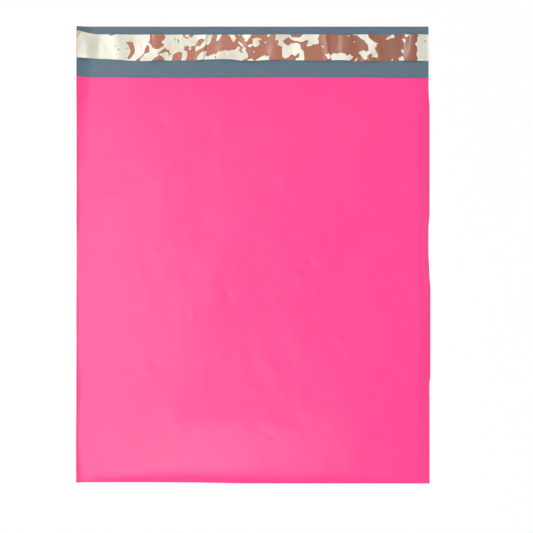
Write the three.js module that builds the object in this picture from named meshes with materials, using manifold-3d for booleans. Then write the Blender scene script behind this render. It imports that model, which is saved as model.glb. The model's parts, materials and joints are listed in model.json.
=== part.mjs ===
// Poly mailer bag, empty, lying on its back with the closing flap open.
// One web of plastic film is folded at the foot and welded down both sides. Its back panel is
// longer than its front, and that extra length is the flap, which carries a band of hot-melt
// adhesive under a release liner.
// Millimetres. X runs across the bag, +Y points to the flap's free edge and +Z is up.
// The origin is at the middle of the outline, on the surface that the bag lies on.

import * as THREE from 'three';
import { mergeVertices } from 'three/addons/utils/BufferGeometryUtils.js';
import Module from 'manifold-3d';

// Driving dimensions of the bag
const BAG_WIDTH = 254;
const POUCH_LENGTH = 291.7;
const FLAP_LENGTH = 36.7;
const FILM_THICKNESS = 0.08;
const POUCH_GAP = 6;
const WELD_WIDTH = 1.5;
const SIDE_SHOULDER = 16;
const FOOT_SHOULDER = 18;
const FOLD_INNER_RADIUS = 0.17;

// Driving dimensions of the closure on the flap
const LINER_WIDTH = 18.4;
const LINER_THICKNESS = 0.05;
const LINER_EDGE_MARGIN = 5.9;
const ADHESIVE_WIDTH = 14;
const ADHESIVE_THICKNESS = 0.05;

// Fineness of the curves, and how far a cutting bar runs past what it cuts
const CURVE_STEPS = 12;
const CUT_OVERRUN = 4;

// Places worked out from the driving dimensions
const bagLength = POUCH_LENGTH + FLAP_LENGTH;
const bagHeight = POUCH_GAP + 2 * FILM_THICKNESS;
const weldThickness = 2 * FILM_THICKNESS;
const edgeX = BAG_WIDTH / 2;
const weldX = edgeX - WELD_WIDTH;
const roofX = weldX - SIDE_SHOULDER;
const flapEdgeY = bagLength / 2;
const mouthY = flapEdgeY - FLAP_LENGTH;
const foldRadius = FOLD_INNER_RADIUS + FILM_THICKNESS;
const foldCentreY = foldRadius - bagLength / 2;
const roofStartY = foldCentreY + FOOT_SHOULDER;
const closureY = flapEdgeY - LINER_EDGE_MARGIN - LINER_WIDTH / 2;

const wasm = await Module();
wasm.setup();

// Materials of the film, the adhesive and the liner
const filmPink = new THREE.MeshStandardMaterial({ color: '#fb4a94', roughness: 0.42, metalness: 0 });
const adhesiveAmber = new THREE.MeshStandardMaterial({ color: '#d9c48c', roughness: 0.3, metalness: 0 });
const linerCream = new THREE.MeshStandardMaterial({ color: '#f1ead8', roughness: 0.35, metalness: 0 });

// Carries a section's outline on to a point by an S-curve that is level at both ends.
function levelCurveTo(section, endAlong, endZ) {
  const startAlong = section.currentPoint.x;
  const startZ = section.currentPoint.y;
  const middle = (startAlong + endAlong) / 2;
  section.bezierCurveTo(middle, startZ, middle, endZ, endAlong, endZ);
}

// Draws the pouch's front across the bag, from the right weld up, over and down to the left weld.
function drawFrontAcross(section, weldZ, roofZ) {
  section.lineTo(weldX, weldZ);
  levelCurveTo(section, roofX, roofZ);
  section.lineTo(-roofX, roofZ);
  levelCurveTo(section, -weldX, weldZ);
}

// Draws the fold at the foot and the pouch's front along the bag, from the back panel to endY.
function drawFrontAlong(section, radius, roofZ, endY) {
  section.absarc(foldCentreY, foldRadius, radius, -Math.PI / 2, -1.5 * Math.PI, true);
  levelCurveTo(section, roofStartY, roofZ);
  section.lineTo(endY, roofZ);
}

// Section across the bag's outside: flat below, two films thick at the welds, level in the middle.
function outsideAcross() {
  const section = new THREE.Shape();
  section.moveTo(-edgeX, 0);
  section.lineTo(edgeX, 0);
  section.lineTo(edgeX, weldThickness);
  drawFrontAcross(section, weldThickness, bagHeight);
  section.lineTo(-edgeX, weldThickness);
  return section;
}

// Section across the pouch's inside, which closes to nothing where the welds begin.
function insideAcross() {
  const section = new THREE.Shape();
  section.moveTo(-weldX, FILM_THICKNESS);
  drawFrontAcross(section, FILM_THICKNESS, bagHeight - FILM_THICKNESS);
  return section;
}

// Section along the bag's outside: flap, back panel, fold, front panel and the mouth's edge.
function outsideAlong() {
  const section = new THREE.Shape();
  section.moveTo(flapEdgeY, 0);
  section.lineTo(foldCentreY, 0);
  drawFrontAlong(section, foldRadius, bagHeight, mouthY);
  section.lineTo(mouthY, FILM_THICKNESS);
  section.lineTo(flapEdgeY, FILM_THICKNESS);
  return section;
}

// Section along the pouch's inside, run out through the mouth so that the pouch is open there.
function insideAlong() {
  const openY = mouthY + CUT_OVERRUN;
  const section = new THREE.Shape();
  section.moveTo(openY, FILM_THICKNESS);
  section.lineTo(foldCentreY, FILM_THICKNESS);
  drawFrontAlong(section, FOLD_INNER_RADIUS, bagHeight - FILM_THICKNESS, openY);
  return section;
}

// A bar of one section, centred along its length. The three axes are where the section's own
// two directions and the bar's length point.
function bar(section, length, sectionAxis, upAxis, lengthAxis) {
  const settings = { depth: length, bevelEnabled: false, curveSegments: CURVE_STEPS };
  const geometry = new THREE.ExtrudeGeometry(section, settings);
  geometry.translate(0, 0, -length / 2);
  geometry.applyMatrix4(new THREE.Matrix4().makeBasis(sectionAxis, upAxis, lengthAxis));
  return geometry;
}

// A closed geometry as a solid that can be joined and cut.
function toSolid(geometry) {
  geometry.deleteAttribute('normal');
  geometry.deleteAttribute('uv');
  const merged = mergeVertices(geometry);
  const vertProperties = merged.getAttribute('position').array;
  const triVerts = Uint32Array.from(merged.getIndex().array);
  return new wasm.Manifold(new wasm.Mesh({ numProp: 3, vertProperties, triVerts }));
}

// A cut solid as a geometry that a mesh can show.
function toGeometry(solid) {
  const { vertProperties, triVerts } = solid.getMesh();
  const geometry = new THREE.BufferGeometry();
  geometry.setAttribute('position', new THREE.BufferAttribute(vertProperties, 3));
  geometry.setIndex(new THREE.BufferAttribute(triVerts, 1));
  geometry.computeVertexNormals();
  return geometry;
}

// A body with one section seen across the bag and another seen along it.
function crossedBars(acrossSection, alongSection) {
  const right = new THREE.Vector3(1, 0, 0);
  const ahead = new THREE.Vector3(0, 1, 0);
  const back = new THREE.Vector3(0, -1, 0);
  const up = new THREE.Vector3(0, 0, 1);
  const lengthways = bar(acrossSection, bagLength + 2 * CUT_OVERRUN, right, up, back);
  const sideways = bar(alongSection, BAG_WIDTH + 2 * CUT_OVERRUN, ahead, up, right);
  return toSolid(lengthways).intersect(toSolid(sideways));
}

// The folded and welded film: both panels, the fold, the welds, the flap and the open pouch.
function bagFilm() {
  const outside = crossedBars(outsideAcross(), outsideAlong());
  const inside = crossedBars(insideAcross(), insideAlong());
  return toGeometry(outside.subtract(inside));
}

// A flat band across the flap, centred under the closure, lying on a face at floorZ.
function flapBand(width, thickness, floorZ) {
  const geometry = new THREE.BoxGeometry(BAG_WIDTH, width, thickness);
  geometry.translate(0, closureY, floorZ + thickness / 2);
  return geometry;
}

function namedMesh(name, geometry, material) {
  const mesh = new THREE.Mesh(geometry, material);
  mesh.name = name;
  return mesh;
}

const mailer = new THREE.Group();
const adhesiveTopZ = FILM_THICKNESS + ADHESIVE_THICKNESS;
const adhesiveStrip = flapBand(ADHESIVE_WIDTH, ADHESIVE_THICKNESS, FILM_THICKNESS);
const releaseLiner = flapBand(LINER_WIDTH, LINER_THICKNESS, adhesiveTopZ);
mailer.add(namedMesh('bag_film', bagFilm(), filmPink));
mailer.add(namedMesh('adhesive_strip', adhesiveStrip, adhesiveAmber));
mailer.add(namedMesh('release_liner', releaseLiner, linerCream));

export default mailer;
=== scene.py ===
# %% [markdown]
# # A poly mailer bag
# A mailer is one long web of plastic film, pink on the outside and grey on the inside. It is folded
# at the foot and welded down both sides, and the longer back panel makes a flap with a peel-off strip.
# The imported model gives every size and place, so the lesson starts by loading it. Film is soft, so each
# rigid stand-in is replaced here by a surface that is worked out with numpy, in millimetres.

# %% Load the frame
import json
import math

import bpy
import numpy as np
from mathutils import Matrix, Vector


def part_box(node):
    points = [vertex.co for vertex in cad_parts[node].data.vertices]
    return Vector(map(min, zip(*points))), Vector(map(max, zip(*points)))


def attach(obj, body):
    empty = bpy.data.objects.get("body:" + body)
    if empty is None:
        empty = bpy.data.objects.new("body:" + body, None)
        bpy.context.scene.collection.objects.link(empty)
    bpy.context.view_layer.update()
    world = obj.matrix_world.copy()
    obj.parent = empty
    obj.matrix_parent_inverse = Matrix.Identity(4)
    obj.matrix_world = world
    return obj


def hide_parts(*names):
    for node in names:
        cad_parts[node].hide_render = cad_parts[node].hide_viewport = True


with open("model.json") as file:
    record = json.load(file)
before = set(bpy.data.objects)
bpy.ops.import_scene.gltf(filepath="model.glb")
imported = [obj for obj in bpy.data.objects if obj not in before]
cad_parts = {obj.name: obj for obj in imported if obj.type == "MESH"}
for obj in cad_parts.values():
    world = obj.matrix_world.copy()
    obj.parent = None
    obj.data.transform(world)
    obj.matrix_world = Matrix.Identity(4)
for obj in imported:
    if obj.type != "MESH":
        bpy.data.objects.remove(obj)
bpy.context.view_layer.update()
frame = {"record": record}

MM = 0.001


def node_box(name):
    """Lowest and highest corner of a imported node, in millimetres."""
    return tuple(np.array(corner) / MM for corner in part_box(name))


film_low, film_high = node_box("bag_film")
glue_low, glue_high = node_box("adhesive_strip")
liner_low, liner_high = node_box("release_liner")
pouch_box = np.array(frame["record"]["physics"]["openings"][0]["box_m"]) / MM

HALF_WIDTH = film_high[0]
FLAP_EDGE_Y = film_high[1]
FOOT_Y = film_low[1]
MOUTH_Y = pouch_box[1][1]
FILM = glue_low[2]
GLUE = glue_high[2] - glue_low[2]
LINER = liner_high[2] - liner_low[2]
print(f"film {FILM:.2f} mm thick, bag {2 * HALF_WIDTH:.0f} mm wide, mouth at y {MOUTH_Y:.1f} mm")

# %% [markdown]
# ## Tools for shapes
# Film lies in gentle curves, so every shape below is a sum of a few smooth functions: an eased step, a
# curve eased through given stops, and random ripples from a seeded generator. They take whole
# arrays, so no vertex is visited by a Python loop.

# %% Smooth functions
# shortest and longest wave in millimetres, number of waves and seed, as in every set of waves below
TRIAL_WAVES = (20, 60, 12, 1)


def ease(start, end, at):
    """0 before start, 1 after end, and 3t^2 - 2t^3 between them, where t is the share of the way."""
    t = np.clip((at - start) / (end - start), 0.0, 1.0)
    return t * t * (3.0 - 2.0 * t)


def eased_through(stops, at):
    """A curve through (place, value) stops, going from each value to the next by ease."""
    places, values = np.array(stops, float).T
    after = np.clip(np.searchsorted(places, at), 1, len(places) - 1)
    share = ease(places[after - 1], places[after], at)
    return values[after - 1] + share * (values[after] - values[after - 1])


def leave(distance, reach):
    """0 at a held edge and nearly 1 a few reaches away from it: 1 - e^(-distance / reach)."""
    return 1.0 - np.exp(-np.maximum(distance, 0.0) / reach)


def ripples(x, y, shortest, longest, count, seed):
    """Random gentle waves: a sum of cosines whose lengths, headings and phases come from a seeded
    generator, divided so that the typical height is 1."""
    draw = np.random.default_rng(seed)
    lengths = draw.uniform(shortest, longest, count)
    headings = draw.uniform(0.0, 2.0 * np.pi, count)
    phases = draw.uniform(0.0, 2.0 * np.pi, count)
    total = np.zeros(np.broadcast(x, y).shape)
    for length, heading, phase in zip(lengths, headings, phases):
        along = x * np.cos(heading) + y * np.sin(heading)
        total += np.cos(2.0 * np.pi * along / length + phase)
    return total / np.sqrt(count / 2.0)


def crowded(start, end, count, crowding):
    """Places from start to end that crowd towards both ends: (1 - c) u + c sin(pi u / 2) for even u from
    -1 to 1, where c is the crowding."""
    u = np.linspace(-1.0, 1.0, count)
    s = (1.0 - crowding) * u + crowding * np.sin(np.pi * u / 2.0)
    return (start + end) / 2.0 + s * (end - start) / 2.0


print("ripples at the origin:", float(ripples(np.zeros(1), np.zeros(1), *TRIAL_WAVES)[0]))

# %% [markdown]
# A sheet has two faces and a thin rim. Solidify could give a flat grid its thickness, but here the outer
# and inner faces carry different colours, so the shell is made directly: the middle surface is moved half
# a thickness each way along its normals, and four rims close it.

# %% Shell from a middle surface
SHARP_EDGE = math.radians(50.0)


def unit_normals(points):
    """Unit normals of a grid of points: the cross product of its column and row directions."""
    along_rows, along_columns = np.gradient(points, axis=(0, 1))
    normals = np.cross(along_columns, along_rows)
    return normals / np.linalg.norm(normals, axis=2, keepdims=True)


def shell_faces(rows, columns):
    """Quads of a closed shell: outer face, inner face turned round, and the four rims."""
    outer = np.arange(rows * columns).reshape(rows, columns)
    inner = outer + rows * columns

    def strip(a, b):
        return np.stack([a[:-1], a[1:], b[1:], b[:-1]], axis=-1).reshape(-1, 4)

    corners = [outer[:-1, :-1], outer[:-1, 1:], outer[1:, 1:], outer[1:, :-1]]
    face = np.stack(corners, axis=-1).reshape(-1, 4)
    back = face[:, ::-1] + rows * columns
    rims = np.vstack([
        strip(inner[0], outer[0]),
        strip(outer[-1], inner[-1]),
        strip(outer[:, 0], inner[:, 0]),
        strip(inner[:, -1], outer[:, -1]),
    ])
    return face, back, rims


def make_shell(name, points, thickness, outer_finish, inner_finish):
    """A closed sheet from its middle surface in millimetres, with one finish on each face."""
    rows, columns = points.shape[:2]
    step = unit_normals(points) * thickness / 2.0
    places = np.concatenate([points + step, points - step]).reshape(-1, 3) * MM
    face, back, rims = shell_faces(rows, columns)
    quads = np.vstack([face, rims, back])
    finish_of = np.repeat([0, 1], [len(face) + len(rims), len(back)])
    mesh = bpy.data.meshes.new(name)
    mesh.vertices.add(len(places))
    mesh.loops.add(quads.size)
    mesh.polygons.add(len(quads))
    mesh.vertices.foreach_set("co", places.ravel())
    mesh.loops.foreach_set("vertex_index", quads.ravel().astype(np.int32))
    mesh.polygons.foreach_set("loop_start", np.arange(0, quads.size, 4, dtype=np.int32))
    mesh.polygons.foreach_set("material_index", finish_of.astype(np.int32))
    mesh.update(calc_edges=True)
    mesh.validate()
    mesh.polygons.foreach_set("use_smooth", np.ones(len(quads), bool))
    mesh.set_sharp_from_angle(angle=SHARP_EDGE)
    mesh.materials.append(outer_finish)
    mesh.materials.append(inner_finish)
    piece = bpy.data.objects.new(name, mesh)
    bpy.context.scene.collection.objects.link(piece)
    print(f"{name}: {len(places)} vertices, {2 * len(quads)} triangles")
    return piece


# %% [markdown]
# ## Tools for finishes
# A finish is a node tree. Writing it as arithmetic keeps it readable, so a small class wraps one output
# of a node and turns + - * / into Math nodes. One method adds any other node: its settings come first,
# because they decide which sockets it has, and then its sockets are set or linked.

# %% Node arithmetic


class Varying:
    """A value that varies over a surface: one node output that takes part in Python arithmetic."""

    def __init__(self, maker, socket):
        self.maker, self.socket = maker, socket

    def math(self, operation, first, second=0.0):
        return self.maker.node("ShaderNodeMath", {"operation": operation}, {0: first, 1: second})

    def __add__(self, other):
        return self.math("ADD", self, other)

    __radd__ = __add__

    def __sub__(self, other):
        return self.math("SUBTRACT", self, other)

    def __rsub__(self, other):
        return self.math("SUBTRACT", other, self)

    def __mul__(self, other):
        return self.math("MULTIPLY", self, other)

    __rmul__ = __mul__

    def __truediv__(self, other):
        return self.math("DIVIDE", self, other)

    def __abs__(self):
        return self.math("ABSOLUTE", self)

    def larger(self, other):
        return self.math("MAXIMUM", self, other)

    def step(self, start, end):
        """0 at start and 1 at end, eased between and level beyond, with start on either side of end."""
        sockets = {"Value": self, "From Min": start, "From Max": end}
        return self.maker.node("ShaderNodeMapRange", {"interpolation_type": "SMOOTHSTEP"}, sockets)


class NodeMaker:
    """A node tree being filled."""

    def __init__(self, tree):
        self.tree = tree
        tree.nodes.clear()

    def node(self, kind, settings=None, sockets=None, out=0):
        """Adds a node, makes its settings, sets or links its sockets, and gives back one output."""
        made = self.tree.nodes.new(kind)
        for name, value in (settings or {}).items():
            setattr(made, name, value)
        for name, value in (sockets or {}).items():
            if isinstance(value, Varying):
                self.tree.links.new(value.socket, made.inputs[name])
            else:
                made.inputs[name].default_value = value
        return Varying(self, made.outputs[out]) if made.outputs else None

    def place(self):
        """The point's place on the piece, in metres."""
        return self.node("ShaderNodeTexCoord", out="Object")

    def axes(self):
        """The point's x and y on the piece, in millimetres."""
        place = self.place()
        split = [self.node("ShaderNodeSeparateXYZ", {}, {0: place}, out=axis) for axis in "XY"]
        return [value / MM for value in split]

    def noise(self, size_mm, detail=2.0, stretch=(1.0, 1.0, 1.0), twist=0.0, seed=0.0):
        """Smooth noise from 0 to 1 whose lumps are about size_mm across, stretched along the axes."""
        scaled = self.node("ShaderNodeVectorMath", {"operation": "DIVIDE"}, {0: self.place(), 1: stretch})
        sockets = {"Vector": scaled, "W": seed, "Scale": 1.0 / (size_mm * MM), "Detail": detail,
                   "Distortion": twist}
        return self.node("ShaderNodeTexNoise", {"noise_dimensions": "4D"}, sockets, out="Fac")

    def mix(self, share, first, second):
        """The first colour where share is 0, the second where it is 1."""
        sockets = {"Factor": share, 6: first, 7: second}
        return self.node("ShaderNodeMix", {"data_type": "RGBA"}, sockets, out=2)

    def bump(self, height, depth_mm, under=None):
        """Normals of a height from 0 to 1 that stands depth_mm high, over an earlier bump."""
        sockets = {"Height": height, "Distance": depth_mm * MM}
        if under is not None:
            sockets["Normal"] = under
        return self.node("ShaderNodeBump", {}, sockets)

    def surface(self, **sockets):
        """Ends the tree in a Principled shader with the given sockets."""
        named = {name.replace("_", " "): value for name, value in sockets.items()}
        shader = self.node("ShaderNodeBsdfPrincipled", {}, named)
        self.node("ShaderNodeOutputMaterial", {}, {"Surface": shader})


def new_finish(name):
    """A new empty material, and the maker that fills its tree."""
    material = bpy.data.materials.new(name)
    material.use_nodes = True
    return material, NodeMaker(material.node_tree)


print("node arithmetic ready")

# %% [markdown]
# ## Film finishes
# Mailer film is blown polyethylene: satin, with a fine grain, faint streaks along the web, fine lines
# along the mouth's lip and small differences in depth of colour. The welds are melted, so they are
# smoother and deeper in colour, the right one most. An image could hold all this, but noise on the
# piece's own coordinates needs no unwrapping. Both faces share one recipe and differ in their colours.

# %% Pink and grey film
PINK_DEEP = (0.96, 0.026, 0.250, 1.0)
PINK_LIGHT = (0.98, 0.033, 0.268, 1.0)
PINK_WELD = (0.84, 0.022, 0.165, 1.0)
GREY_DEEP = (0.073, 0.134, 0.181, 1.0)
GREY_LIGHT = (0.081, 0.144, 0.191, 1.0)
GREY_WELD = (0.055, 0.105, 0.145, 1.0)
CLOUD_MM, MOTTLE_MM, STREAK_MM, GRAIN_MM = 38.0, 8.0, 3.0, 2.0
CLOUD_WEIGHT, MOTTLE_WEIGHT, STREAK_WEIGHT = 0.35, 0.5, 0.15
DEPTH_SPAN = (0.34, 0.66)
ALONG_WEB = (1.0, 60.0, 1.0)
WELD_BAND_MM = 1.6
WELD_SHARE, WELD_CHANGE_MM = 0.3, 10.0
LIP_BAND_MM, LIP_END_MM, LIP_LINE_MM = 11.0, 2.0, 2.4
ALONG_LIP = (40.0, 1.0, 1.0)
LIP_LINE_DEPTH, STREAK_DEPTH, GRAIN_DEPTH = 0.06, 0.002, 0.002
FILM_ROUGHNESS = 0.284
MOTTLE_ROUGHNESS, STREAK_ROUGHNESS, WELD_POLISH = 0.02, 0.01, 0.06
FILM_IOR = 1.50


def film_finish(name, deep, light, weld_colour):
    """Blown film: clouded colour, streaks along the web, a fine grain, lines along the mouth's lip, and
    melted welds at both sides that show twice as much at the right."""
    material, make = new_finish(name)
    x, y = make.axes()
    weld = abs(x).step(HALF_WIDTH - WELD_BAND_MM, HALF_WIDTH - WELD_BAND_MM / 4.0)
    cloud = make.noise(CLOUD_MM, detail=3.0)
    mottle = make.noise(MOTTLE_MM, detail=1.5, seed=2.0)
    streak = make.noise(STREAK_MM, detail=0.0, stretch=ALONG_WEB)
    grain = make.noise(GRAIN_MM, detail=0.0)
    lip_start = y.step(MOUTH_Y - LIP_BAND_MM, MOUTH_Y - LIP_BAND_MM / 2.0)
    lip_end = y.step(MOUTH_Y + LIP_END_MM, MOUTH_Y)
    lip_lines = make.noise(LIP_LINE_MM, detail=0.0, stretch=ALONG_LIP, seed=5.0) * (lip_start * lip_end)
    depth = (cloud * CLOUD_WEIGHT + mottle * MOTTLE_WEIGHT + streak * STREAK_WEIGHT).step(*DEPTH_SPAN)
    weld_share = weld * (WELD_SHARE + WELD_SHARE * x.step(-WELD_CHANGE_MM, WELD_CHANGE_MM))
    colour = make.mix(weld_share, make.mix(depth, deep, light), weld_colour)
    roughness = (FILM_ROUGHNESS + MOTTLE_ROUGHNESS * (mottle - 0.5) + STREAK_ROUGHNESS * (streak - 0.5)
                 - WELD_POLISH * weld)
    fine_relief = make.bump(streak, STREAK_DEPTH, make.bump(grain, GRAIN_DEPTH))
    relief = make.bump(lip_lines, LIP_LINE_DEPTH, fine_relief)
    make.surface(Base_Color=colour, Roughness=roughness, Normal=relief, IOR=FILM_IOR)
    return material


pink_film = film_finish("pink_film", PINK_DEEP, PINK_LIGHT, PINK_WELD)
grey_film = film_finish("grey_film", GREY_DEEP, GREY_LIGHT, GREY_WELD)
print("film finishes:", pink_film.name, grey_film.name)

# %% [markdown]
# ## The film
# The web runs from the flap's free edge down the back, round the fold and up the front to the mouth. Its
# two parameters are the distance along the web and the place across it. A cloth simulation could drop it
# on a table, but film this thin lies nearly flat, so each panel is written as a sum of smooth heights.
# The back lies on the table. The front rises fastest beside the welds and the fold, with a low roll
# behind the fold, crowns a little right of the middle and comes down again at the mouth, where nothing
# holds it. Hot welding shrinks the film, so the edges are scalloped and the left one curls up.

# %% Outline of the bag
# place along each edge and how far the edge stands to +X, or to +Y for the fold and the mouth
RIGHT_EDGE = [(-164, 0.12), (-104, 0.12), (-96, -0.1), (-86, 0.65), (-26, 0.7), (-10, -0.2), (2, -0.7),
              (19, -0.7), (30, 0.12), (106, 0.12), (117, -0.6), (164, -0.7)]
LEFT_EDGE = [(-164, -0.05), (-135, -0.2), (-104, 0.0), (-30, -0.05), (40, 0.1), (100, 0.12), (164, 0.3)]
FOOT_EDGE = [(-127, 0.5), (-80, 0.5), (-52, 0.36), (0, -0.42), (127, -0.46)]
MOUTH_EDGE = [(-127, 0.7), (-113, -0.1), (-103, 0.14), (-84, -0.3), (-42, -0.38), (-9, -0.3), (25, 0.14),
              (42, 0.14), (59, -0.3), (74, -0.04), (106, -0.6), (127, -0.55)]
EDGE_SPREAD = 40.0


def shifted_across(x, y):
    """x moved so that each side follows its edge curve, fading out towards the middle."""
    right = eased_through(RIGHT_EDGE, y) * ease(HALF_WIDTH - EDGE_SPREAD, HALF_WIDTH, x)
    left = eased_through(LEFT_EDGE, y) * ease(HALF_WIDTH - EDGE_SPREAD, HALF_WIDTH, -x)
    return x + right + left


def shifted_along(x, y, is_front):
    """y moved so that the fold and, on the front panel, the mouth follow their edge curves."""
    foot = eased_through(FOOT_EDGE, x) * ease(FOOT_Y + EDGE_SPREAD, FOOT_Y, y)
    mouth = eased_through(MOUTH_EDGE, x) * ease(MOUTH_Y - EDGE_SPREAD, MOUTH_Y, y)
    return y + foot + np.where(is_front, mouth, 0.0)


print("outline stops:", len(RIGHT_EDGE) + len(LEFT_EDGE) + len(FOOT_EDGE) + len(MOUTH_EDGE))

# %% Back panel and flap
BACK_RIPPLE, FLAP_RIPPLE, RIPPLE_SPREAD = 0.05, 0.10, 0.5
BACK_WAVES = (30, 90, 14, 3)
CURL_REACH, CURL_POWER = 11.0, 2.0
LEFT_CURL = [(-164, 1.6), (-150, 1.5), (-132, 1.1), (-93, 1.2), (-76, 0.7), (-64, 0.35), (-48, 0.5),
             (-28, 0.3), (4, 0.0), (16, 0.6), (29, 1.1), (42, 0.8), (54, 0.5), (66, 0.8), (92, 1.0),
             (128, 2.3), (164, 2.4)]


def left_curl(x, y):
    """Rise of the whole bag at its left edge, where the weld has pulled it up: a power of the share of
    the way to the edge, times a height that changes along it."""
    share = np.clip(1.0 - (x + HALF_WIDTH) / CURL_REACH, 0.0, 1.0)
    return eased_through(LEFT_CURL, y) * share**CURL_POWER


def back_height(x, y):
    """Middle of the back film: half a film above the table, plus low ripples and the curl at the left."""
    swell = np.where(y > MOUTH_Y, FLAP_RIPPLE, BACK_RIPPLE)
    ripple = swell * (1.0 + RIPPLE_SPREAD * ripples(x, y, *BACK_WAVES)).clip(0.0)
    return FILM / 2.0 + ripple + left_curl(x, y)


print("back height in the middle, mm:", float(back_height(np.zeros(1), np.zeros(1))[0]))

# %% Pillow of the front panel
FOLD_RADIUS = 0.15
SHELF, CROWN = 1.3, 3.2
CROWN_X, CROWN_REACH_X = 12.0, 142.0
CROWN_Y, CROWN_REACH_Y = 5.0, 172.0
LEFT_REACH = 16.0
RIGHT_REACH = [(-164, 15.0), (-118, 11.0), (-88, 4.5), (-50, 2.6), (164, 2.6)]
FOOT_SNAP, FOOT_SNAP_SHARE = 6.5, 0.65
FOOT_RAMP = (4.0, 46.0)
ROLL, ROLL_SNAP, ROLL_SIDE = 0.65, 4.0, 8.0
ROLL_FALL = (34.0, 100.0)
MOUTH_REACH, LIP_SHARE = 24.0, 0.35

fold_centre_y = FOOT_Y + FOLD_RADIUS


def inside_weld(x):
    """Distance from the inner edge of the left weld and from that of the right weld, negative in the
    welds, which stay flat."""
    weld_x = HALF_WIDTH - WELD_BAND_MM
    return x + weld_x, weld_x - x


def pillow(x, y):
    """Lift of the front panel: a low shelf and a crown that is highest right of the middle, let down by
    e-curves at the welds, at the fold, where a longer eased ramp follows, and, part of the way, at the
    mouth's lip. A low roll springs up behind the fold and eases away again."""
    left, right = inside_weld(x)
    above_fold = y - fold_centre_y
    sides = leave(left, LEFT_REACH) * leave(right, eased_through(RIGHT_REACH, y))
    foot = (FOOT_SNAP_SHARE * leave(above_fold, FOOT_SNAP)
            + (1.0 - FOOT_SNAP_SHARE) * ease(*FOOT_RAMP, above_fold))
    mouth = LIP_SHARE + (1.0 - LIP_SHARE) * leave(MOUTH_Y - y, MOUTH_REACH)
    crown = (1.0 - ((x - CROWN_X) / CROWN_REACH_X) ** 2) * (1.0 - ((y - CROWN_Y) / CROWN_REACH_Y) ** 2)
    roll = leave(above_fold, ROLL_SNAP) * (1.0 - ease(*ROLL_FALL, above_fold))
    roll_sides = leave(left, ROLL_SIDE) * leave(right, ROLL_SIDE)
    return (SHELF + CROWN * crown) * sides * foot * mouth + ROLL * roll * roll_sides


print("pillow in the middle, mm:", float(pillow(np.zeros(1), np.zeros(1))[0]))

# %% Kinks and crinkles
KINK_HALF_WIDTH = 2.1
# x, y, heading in degrees, half-length, bow and depth of each small kink from handling
KINKS = [
    (-65, 96, -60, 5.5, 0.03, 0.27),
    (22, 48, 88, 5.0, 0.04, -0.30),
    (42, -6, -55, 4.0, 0.03, 0.37),
    (38, -11, -8, 9.0, 0.02, 0.58),
    (10, -128, -20, 7.0, -0.03, 0.27),
    (-72, -77, -40, 4.5, 0.05, 0.38),
    (-78, -83, -50, 4.0, 0.04, -0.30),
    (-43, -45, 95, 4.5, 0.04, -0.22),
    (64, -62, -45, 3.0, 0.0, -0.34),
    (69, -72, 60, 3.0, 0.0, -0.34),
    (-18, -29, -40, 4.5, 0.05, 0.24),
    (-3, 97, 100, 4.0, 0.0, 0.21),
    (-29, 89, 60, 4.0, 0.0, 0.20),
    (49, -27, 70, 4.0, 0.04, 0.31),
    (79, -35, 90, 5.0, 0.0, 0.28),
    (62, 43, 90, 6.0, 0.0, 0.22),
    (-45, 124, 0.3, 38.0, 0.0, 0.06),
    (-30, 120.5, -0.3, 30.0, 0.0, -0.05),
]
FINE_CRINKLE, MIDDLE_CRINKLE, BROAD_CRINKLE = 0.017, 0.036, 0.042
FINE_WAVES = (6, 11, 60, 8)
MIDDLE_WAVES = (11, 24, 60, 9)
BROAD_WAVES = (24, 55, 40, 13)
PATCH_WAVES = (60, 140, 12, 6)
PATCH_BASE, PATCH_GAIN, PATCH_CAP = 0.7, 0.3, 1.5


def kinks(x, y):
    """Small grooves and, where the depth is negative, ridges: each falls off as e^(-(distance/length)^2)
    along its heading and in the same way, over a shorter distance, across it, from a line bowed by the
    square of the distance along it."""
    total = np.zeros(np.broadcast(x, y).shape)
    for centre_x, centre_y, heading, length, bow, depth in KINKS:
        cosine, sine = math.cos(math.radians(heading)), math.sin(math.radians(heading))
        along = (x - centre_x) * cosine + (y - centre_y) * sine
        across = (y - centre_y) * cosine - (x - centre_x) * sine - bow * along**2
        total -= depth * np.exp(-((along / length) ** 2) - (across / KINK_HALF_WIDTH) ** 2)
    return total


def crinkles(x, y):
    """Shallow waves of three lengths, the shorter two stronger in patches."""
    patches = PATCH_BASE + PATCH_GAIN * ripples(x, y, *PATCH_WAVES).clip(0.0, PATCH_CAP)
    short = FINE_CRINKLE * ripples(x, y, *FINE_WAVES) + MIDDLE_CRINKLE * ripples(x, y, *MIDDLE_WAVES)
    return patches * short + BROAD_CRINKLE * ripples(x, y, *BROAD_WAVES)


print("kinks:", len(KINKS), "crinkle at the origin, mm:", float(crinkles(np.zeros(1), np.zeros(1))[0]))

# %% Front panel
FOLD_FADE = 12.0
HELD_REACH = 8.0
DEEPEST_SHARE = 0.6
BILLOW = 0.14
BILLOW_WAVES = (55, 140, 16, 15)


def front_height(x, y):
    """Middle of the front film: one film above the back at the welds, two fold radii at the fold, then
    the pillow, and broad billows, crinkles and kinks that fade out at the held edges and never sink
    further than a share of the pillow."""
    above_fold = y - fold_centre_y
    start = FILM + (2.0 * FOLD_RADIUS - FILM) * np.exp(-above_fold / FOLD_FADE)
    left, right = inside_weld(x)
    free = leave(left, HELD_REACH) * leave(right, HELD_REACH) * leave(above_fold, HELD_REACH)
    relief = BILLOW * ripples(x, y, *BILLOW_WAVES) + crinkles(x, y) + kinks(x, y)
    lift = pillow(x, y)
    return back_height(x, y) + start + lift + free * np.maximum(relief, -DEEPEST_SHARE * lift)


print("front height in the middle, mm:", float(front_height(np.zeros(1), np.zeros(1))[0]))

# %% Web of film
COLUMNS = 184
FLAP_ROWS = 12
BACK_ROWS = 42
FOLD_ROWS = 9
FRONT_ROWS = 204
EDGE_CROWDING = 0.2


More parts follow.
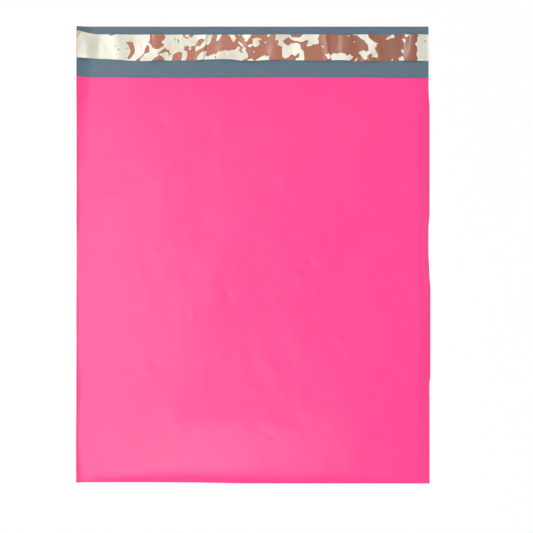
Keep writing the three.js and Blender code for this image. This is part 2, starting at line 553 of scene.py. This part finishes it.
def film_web():
    """Middle surface of the whole web, row by row from the flap's edge to the mouth's edge: the back's
    heights, half a circle round the fold, and the front's heights."""
    across = crowded(-HALF_WIDTH, HALF_WIDTH, COLUMNS, EDGE_CROWDING)
    flap_y = np.linspace(FLAP_EDGE_Y, MOUTH_Y, FLAP_ROWS)
    back_y = np.linspace(MOUTH_Y, fold_centre_y, BACK_ROWS)[1:]
    turn = np.linspace(-0.5 * np.pi, -1.5 * np.pi, FOLD_ROWS)[1:-1]
    front_y = crowded(fold_centre_y, MOUTH_Y, FRONT_ROWS, EDGE_CROWDING)

    under_x, under_y = np.meshgrid(across, np.concatenate([flap_y, back_y]))
    under_z = back_height(under_x, under_y)
    turn_x, angle = np.meshgrid(across, turn)
    turn_y = fold_centre_y + FOLD_RADIUS * np.cos(angle)
    turn_z = back_height(turn_x, fold_centre_y) + FOLD_RADIUS * (1.0 + np.sin(angle))
    over_x, over_y = np.meshgrid(across, front_y)
    over_z = front_height(over_x, over_y)

    x = np.vstack([under_x, turn_x, over_x])
    y = np.vstack([under_y, turn_y, over_y])
    z = np.vstack([under_z, turn_z, over_z])
    is_front = np.arange(len(x))[:, None] >= len(under_x) + len(turn_x)
    return np.stack([shifted_across(x, y), shifted_along(x, y, is_front), z], axis=-1)


web = film_web()
mailer_film = make_shell("mailer_film", web, FILM, pink_film, grey_film)
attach(mailer_film, "root")
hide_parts("bag_film")
WEB_LENGTH = (FLAP_EDGE_Y - FOOT_Y) + (MOUTH_Y - FOOT_Y)
WEB_LENGTH * MM
print(f"web {2 * HALF_WIDTH:.0f} by {WEB_LENGTH:.1f} mm, highest point {web[..., 2].max():.2f} mm")

# %% [markdown]
# ## The adhesive and its liner
# A band of amber hot-melt runs across the flap. The liner covers it: a glossy, slack strip of printed
# film that waves a little along its length, is folded across in two places, lifts here and there along
# its lower edge and curls up at its left end. Its print is generic: brown patches on cream that crowd
# towards the right. Painted sheen and shade lie over it: soft bands across the cream, brown that deepens
# towards the right, and a pale line of painted highlight along a crease at the left corner, beside a tan
# patch. The adhesive and the liner are strips of a grid laid on the back panel's own heights, so they
# follow it.

# %% Adhesive finish
AMBER_DEEP = (0.50, 0.33, 0.11, 1.0)
AMBER_LIGHT = (0.70, 0.52, 0.24, 1.0)
LUMP_MM, LUMP_DEPTH = 3.0, 0.02
LUMP_SPAN = (0.3, 0.7)
ALONG_BAND = (4.0, 1.0, 1.0)
GLUE_ROUGHNESS, LUMP_ROUGHNESS = 0.18, 0.06


def adhesive_finish():
    """Hot-melt: amber that varies with its thickness, glossy and faintly lumpy."""
    material, make = new_finish("hot_melt")
    lumps = make.noise(LUMP_MM, detail=2.0, stretch=ALONG_BAND)
    colour = make.mix(lumps.step(*LUMP_SPAN), AMBER_DEEP, AMBER_LIGHT)
    roughness = GLUE_ROUGHNESS + LUMP_ROUGHNESS * lumps
    make.surface(Base_Color=colour, Roughness=roughness, Normal=make.bump(lumps, LUMP_DEPTH))
    return material


hot_melt = adhesive_finish()
print("adhesive finish:", hot_melt.name)

# %% Liner finish
CREAM = (0.93, 0.91, 0.80, 1.0)
# the deeper cream is the dim end of soft bands that paint sheen and shade across the strip, and of its
# random tone
CREAM_DEEP_AND_SHADED = (0.69, 0.655, 0.53, 1.0)
# the pale colour is a painted highlight along the crease at the liner's left corner
CORNER_CREASE_HIGHLIGHT = (0.84, 0.81, 0.70, 1.0)
BROWN = (0.445, 0.150, 0.078, 1.0)
# the deep brown serves the ink's darker rim and random tone, and painted shade towards the right
BROWN_DEEP_AND_SHADED = (0.21, 0.046, 0.011, 1.0)
TAN = (0.66, 0.52, 0.29, 1.0)
PATCH_MM, PATCH_TWIST = 13.0, 1.3
PATCH_LIMIT, LIMIT_FALL, LIMIT_RISE = 0.555, 0.10, 0.3
FALL_SPAN, LEFT_BARE_SPAN, RIGHT_BARE_SPAN = (-70.0, 70.0), (-100.0, -112.0), (117.2, 118.0)
BARE_WANDER, WANDER_MM = 9.0, 6.0
INK_EDGE, RIM_EDGE = (-0.003, 0.005), (0.03, 0.0)
SPECK_MM, SPECK_EDGE, SPECK_SHARE = 2.4, (0.72, 0.735), 0.8
WASH_MM, WASH_WEIGHT = 4.0, 0.2
# soft bands across the strip paint sheen and shade into the cream
SHEEN_BAND_MM, SHEEN_BAND_WEIGHT, ALONG_STRIP_WIDTH = 9.0, 0.8, (1.0, 3.0, 1.0)
TONE_SPAN = (0.32, 0.66)
# the last weight deepens the brown towards the right as painted shade, over the span on the next line
RIM_INK, WASH_INK, RIGHT_PAINTED_SHADE = 0.3, 0.15, 0.7
RIGHT_PAINTED_SHADE_SPAN = (-20.0, 125.0)
CORNER_X, CORNER_Y, CORNER_LEAN = -122.0, 160.0, 0.68
# where the tan lies over the left corner, and how much of it
TAN_CORNER_EDGE, TAN_CORNER_SHARE = (0.2, -0.2), 0.85
# offset and width of the pale line of painted highlight along the corner's crease
HIGHLIGHT_LINE_OFFSET, HIGHLIGHT_LINE_EDGE = 0.3, (0.6, 0.2)
LINER_ROUGHNESS, WASH_ROUGHNESS, WASH_DEPTH = 0.14, 0.06, 0.004
LINER_IOR = 1.65


def liner_finish():
    """Printed release film: patches where noise passes a limit that falls from left to right, with a
    darker rim, specks beside them and both ends bare, and brown that deepens towards the right as
    painted shade; on cream in soft bands of painted sheen and shade; and a tan patch at the left corner
    with a pale line of painted highlight along its crease."""
    material, make = new_finish("printed_liner")
    x, y = make.axes()
    blot = make.noise(PATCH_MM, detail=1.3, twist=PATCH_TWIST, seed=4.0)
    limit = PATCH_LIMIT - LIMIT_FALL * x.step(*FALL_SPAN) + LIMIT_RISE * x.step(*LEFT_BARE_SPAN)
    wander = BARE_WANDER * (make.noise(WANDER_MM, detail=2.0, seed=9.0) - 0.5)
    bare_end = (x + wander).step(*RIGHT_BARE_SPAN)
    inked = (blot - limit).step(*INK_EDGE) * (1.0 - bare_end)
    rim = inked * (blot - limit).step(*RIM_EDGE)
    specks = make.noise(SPECK_MM, detail=1.0).step(*SPECK_EDGE)
    wash = make.noise(WASH_MM, detail=3.0)
    # soft bands that paint sheen and shade into the cream
    painted_sheen_bands = make.noise(SHEEN_BAND_MM, detail=1.5, stretch=ALONG_STRIP_WIDTH, seed=7.0)
    paper_tone_and_sheen = make.mix((painted_sheen_bands * SHEEN_BAND_WEIGHT + wash * WASH_WEIGHT).step(*TONE_SPAN), CREAM, CREAM_DEEP_AND_SHADED)
    # the ink deepens at its rim and with the wash, and towards the right as painted shade
    ink_depth_and_shade = rim * RIM_INK + wash * WASH_INK + RIGHT_PAINTED_SHADE * x.step(*RIGHT_PAINTED_SHADE_SPAN)
    ink_and_shade = make.mix(ink_depth_and_shade, BROWN, BROWN_DEEP_AND_SHADED)
    print_with_painted_light = make.mix(inked.larger(specks * SPECK_SHARE), paper_tone_and_sheen, ink_and_shade)
    past_corner = x + CORNER_LEAN * (CORNER_Y - y) - CORNER_X
    # tan over the left corner, beyond a leaning line
    with_tan_corner = make.mix(past_corner.step(*TAN_CORNER_EDGE) * TAN_CORNER_SHARE, print_with_painted_light, TAN)
    # a pale line of painted highlight along the corner's crease
    colour = make.mix(abs(past_corner - HIGHLIGHT_LINE_OFFSET).step(*HIGHLIGHT_LINE_EDGE), with_tan_corner, CORNER_CREASE_HIGHLIGHT)
    roughness = LINER_ROUGHNESS + WASH_ROUGHNESS * wash
    relief = make.bump(wash, WASH_DEPTH)
    make.surface(Base_Color=colour, Roughness=roughness, Normal=relief, IOR=LINER_IOR)
    return material


printed_liner = liner_finish()
print("liner finish:", printed_liner.name)

# %% Adhesive band
GLUE_ROWS, GLUE_COLUMNS = 15, 255
GLUE_WANDER = 0.35
LOWER_EDGE_WAVES = (25, 70, 8, 21)
UPPER_EDGE_WAVES = (25, 70, 8, 22)


def strip_grid(rows, columns):
    """Grid of a strip across the flap: the share of the way up it for each row, and x for each column."""
    shares = np.linspace(0, 1, rows)
    across = np.linspace(-HALF_WIDTH, HALF_WIDTH, columns)
    return np.meshgrid(shares, across, indexing="ij")


def adhesive_surface():
    """Middle of the adhesive: it lies on the flap, and both its long edges wander a little."""
    share, x = strip_grid(GLUE_ROWS, GLUE_COLUMNS)
    low = glue_low[1] + GLUE_WANDER * ripples(x, 0.0, *LOWER_EDGE_WAVES)
    high = glue_high[1] + GLUE_WANDER * ripples(x, 0.0, *UPPER_EDGE_WAVES)
    y = low + share * (high - low)
    z = back_height(x, y) + FILM / 2.0 + GLUE / 2.0
    return np.stack([shifted_across(x, y), y, z], axis=-1)


adhesive_band = make_shell("adhesive_band", adhesive_surface(), GLUE, hot_melt, hot_melt)
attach(adhesive_band, "root")
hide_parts("adhesive_strip")

# %% Folds and lifts of the liner
# x at the lower edge, lean and height of each fold across the strip
LINER_CREASES = [(-36.3, 0.14, 1.5), (55.2, -0.13, 1.1)]
CREASE_RISE, CREASE_FALL = 3.0, 0.8
# x, half-width and height of the places where the lower edge stands off the flap
LINER_LIFTS = [(-65, 5, 0.45), (-22, 8, 0.6), (6, 12, 0.5), (60, 9, 0.35), (84, 8, 0.4)]
LIFT_POWER = 3


def creases(x, y):
    """Folds across the strip: each falls off as e^(-(distance/width)^2) from its leaning line, slowly to
    the left and steeply to the right."""
    total = np.zeros(x.shape)
    for at, lean, height in LINER_CREASES:
        past = x - at - lean * (y - liner_low[1])
        width = np.where(past < 0.0, CREASE_RISE, CREASE_FALL)
        total += height * np.exp(-((past / width) ** 2))
    return total


def lower_lifts(x, share):
    """Rise of the lower edge: e^(-(distance/half-width)^2) round each place, summed, times a power of
    the share of the way down the strip."""
    lifts = sum(height * np.exp(-((x - at) / half) ** 2) for at, half, height in LINER_LIFTS)
    return lifts * (1.0 - share) ** LIFT_POWER


print(f"{len(LINER_CREASES)} folds across the liner, {len(LINER_LIFTS)} lifts along its lower edge")

# %% Release liner
LINER_ROWS, LINER_COLUMNS = 25, 600
# x along each long edge and how far the edge stands to +Y
LINER_TOP = [(-127, 2.1), (-124, 1.75), (-121, 1.2), (-117, 0.6), (-112, 0.25), (-100, 0.1), (-80, 0.05),
             (-20, -0.1), (40, 0.15), (90, 0.0), (127, 0.1)]
LINER_FOOT = [(-127, 1.4), (-110, 1.05), (-98, 0.3), (-87, -0.4), (-75, -0.65), (-64, -0.1), (-46, -0.3),
              (-29, 0.6), (-17, 0.55), (-6, -0.6), (17, 0.1), (28, 0.15), (45, -0.5), (63, 0.0),
              (76, -1.0), (88, -0.9), (100, -0.35), (127, -0.6)]
LINER_WAVE, WAVE_SPREAD, WAVE_LEAN = 0.80, 0.7, 0.2
LINER_WAVES = (12, 34, 14, 31)
LINER_CURL, LINER_CURL_POWER, CURL_FOOT_SHARE = 4.0, 1.8, 0.75
LINER_DRAW_IN = 0.9
CURL_START_X = -110.0


def liner_surface():
    """Middle of the liner: edges eased through stops, waves along its length, lifts at its lower edge, a
    curl at the left end that grows as a power of the way to it and draws the end in, and folds."""
    share, x = strip_grid(LINER_ROWS, LINER_COLUMNS)
    foot = liner_low[1] + eased_through(LINER_FOOT, x)
    top = liner_high[1] + eased_through(LINER_TOP, x)
    y = foot + share * (top - foot)
    seat = back_height(x, y) + FILM / 2.0 + GLUE + LINER
    wave = LINER_WAVE * (1.0 + WAVE_SPREAD * ripples(x, WAVE_LEAN * y, *LINER_WAVES)).clip(0.0)
    curling = np.clip((CURL_START_X - x) / (CURL_START_X + HALF_WIDTH), 0.0, 1.0)
    curl = LINER_CURL * curling**LINER_CURL_POWER * (CURL_FOOT_SHARE + (1.0 - CURL_FOOT_SHARE) * share)
    z = seat + wave + lower_lifts(x, share) + curl + creases(x, y)
    return np.stack([shifted_across(x, y) + LINER_DRAW_IN * curling**2, y, z], axis=-1)


liner_strip = make_shell("liner_strip", liner_surface(), LINER, printed_liner, printed_liner)
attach(liner_strip, "root")
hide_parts("release_liner")

# %% [markdown]
# ## Floor, light and camera
# The bag lies on a white floor under a soft sky that is brighter overhead and at the left. Five level
# softboxes hang over it, and the satin film mirrors them as a faint haze that is strongest at the lower
# left. Twelve upright softboxes stand around it, so that it has a sheen from the side as well. The floor
# and the sky look white to the camera and in reflections, and the floor keeps part of the bag's shadow.

# %% Floor
FLOOR_DROP = 0.1
FLOOR_SIDE = 6000.0
FLOOR_WHITE = (0.945, 0.945, 0.945, 1.0)
FLOOR_SHINE = 0.8
CORNER_SIGNS = ((-1, -1), (1, -1), (1, 1), (-1, 1))


def seen_share(make):
    """1 for rays that carry a view: straight from the camera, mirrored or passed through."""
    kinds = ("Is Camera Ray", "Is Glossy Ray", "Is Transmission Ray")
    camera, glossy, through = (make.node("ShaderNodeLightPath", out=kind) for kind in kinds)
    return camera.larger(glossy).larger(through)


def floor_finish():
    """White paint that is partly its own light to the camera, so that it stays white around the shadow."""
    material, make = new_finish("white_floor")
    paint = make.node("ShaderNodeBsdfDiffuse", {}, {"Color": FLOOR_WHITE})
    glow = make.node("ShaderNodeEmission", {}, {"Strength": 1.0})
    blend = make.node("ShaderNodeMixShader", {}, {0: seen_share(make) * FLOOR_SHINE, 1: paint, 2: glow})
    make.node("ShaderNodeOutputMaterial", {}, {"Surface": blend})
    return material


half_floor = FLOOR_SIDE / 2.0 * MM
floor_mesh = bpy.data.meshes.new("floor")
floor_corners = [(sx * half_floor, sy * half_floor, -FLOOR_DROP * MM) for sx, sy in CORNER_SIGNS]
floor_mesh.from_pydata(floor_corners, [], [(0, 1, 2, 3)])
floor_mesh.materials.append(floor_finish())
floor = bpy.data.objects.new("floor", floor_mesh)
bpy.context.scene.collection.objects.link(floor)
print(f"floor {FLOOR_SIDE * MM:.0f} m wide")

# %% Sky
SKY_WHITE = (1.0, 1.0, 1.0, 1.0)
SKY_BASE, SKY_OVERHEAD, SKY_LEFT = 0.06, 0.765, 0.48

world = bpy.data.worlds.new("white_sky")
bpy.context.scene.world = world
world.use_nodes = True
sky = NodeMaker(world.node_tree)
way = sky.node("ShaderNodeTexCoord", out="Generated")
way_x, way_z = (sky.node("ShaderNodeSeparateXYZ", {}, {0: way}, out=axis) for axis in "XZ")
light = (SKY_BASE + SKY_OVERHEAD * way_z * way_z - SKY_LEFT * way_x).larger(0.0)
seen = seen_share(sky)
strength = light * (1.0 - seen) + seen
glow = sky.node("ShaderNodeBackground", {}, {"Color": SKY_WHITE, "Strength": strength})
sky.node("ShaderNodeOutputWorld", {}, {"Surface": glow})
print("sky:", world.name)

# %% Softboxes
# place and sides in metres, and watts, of each level softbox over the bag
SOFTBOXES = {"left_softbox": ((-0.53, -0.155, 1.60), (0.58, 0.85), 4.7),
             "foot_softbox": ((-0.20, -0.56, 1.60), (0.50, 0.14), 2.65),
             "overhead_softbox": ((0.00, 0.12, 1.60), (0.70, 1.04), 0.8),
             "right_softbox": ((0.62, -0.12, 1.60), (0.30, 0.70), 0.55),
             "flap_softbox": ((-0.18, 0.52, 1.60), (0.76, 0.08), 2.1)}
DOWN = (0.0, 0.0, -1.0)
# the upright softboxes around the bag, in metres and watts
RING_COUNT = 12
RING_RADIUS, RING_HEIGHT = 2.6, 1.85
RING_SIDES = (0.45, 1.5)
RING_WATTS = 4.2


def add_softbox(name, place, sides, watts, facing):
    """A rectangular lamp at a place, shining along a direction."""
    lamp = bpy.data.lights.new(name, "AREA")
    lamp.shape = "RECTANGLE"
    lamp.size, lamp.size_y = sides
    lamp.energy = watts
    softbox = bpy.data.objects.new(name, lamp)
    softbox.location = place
    softbox.rotation_euler = Vector(facing).to_track_quat("-Z", "Y").to_euler()
    softbox.visible_camera = False
    bpy.context.scene.collection.objects.link(softbox)


for name, (place, sides, watts) in SOFTBOXES.items():
    add_softbox(name, place, sides, watts, DOWN)
for number in range(RING_COUNT):
    turn = 2.0 * math.pi * number / RING_COUNT
    place = (RING_RADIUS * math.cos(turn), RING_RADIUS * math.sin(turn), RING_HEIGHT)
    add_softbox(f"ring_softbox_{number}", place, RING_SIDES, RING_WATTS, [-c for c in place])
print(f"{len(SOFTBOXES)} softboxes over the bag and {RING_COUNT} around it")

# %% Camera
PHOTO_SIDE_PIXELS = 533.0
PIXELS_PER_MM = 1.389
BAG_MIDDLE_PIXEL = (253.0, 254.7)
CAMERA_HEIGHT = 1000.0
view_x = (PHOTO_SIDE_PIXELS / 2.0 - BAG_MIDDLE_PIXEL[0]) / PIXELS_PER_MM
view_y = (BAG_MIDDLE_PIXEL[1] - PHOTO_SIDE_PIXELS / 2.0) / PIXELS_PER_MM
camera_data = bpy.data.cameras.new("camera")
camera_data.lens = camera_data.sensor_width * CAMERA_HEIGHT * PIXELS_PER_MM / PHOTO_SIDE_PIXELS
camera = bpy.data.objects.new("camera", camera_data)
camera.location = (view_x * MM, view_y * MM, CAMERA_HEIGHT * MM)
bpy.context.scene.collection.objects.link(camera)
bpy.context.scene.camera = camera
bpy.context.scene.view_settings.view_transform = "Standard"
print(f"camera {CAMERA_HEIGHT:.0f} mm above the floor, lens {camera_data.lens:.1f} mm")
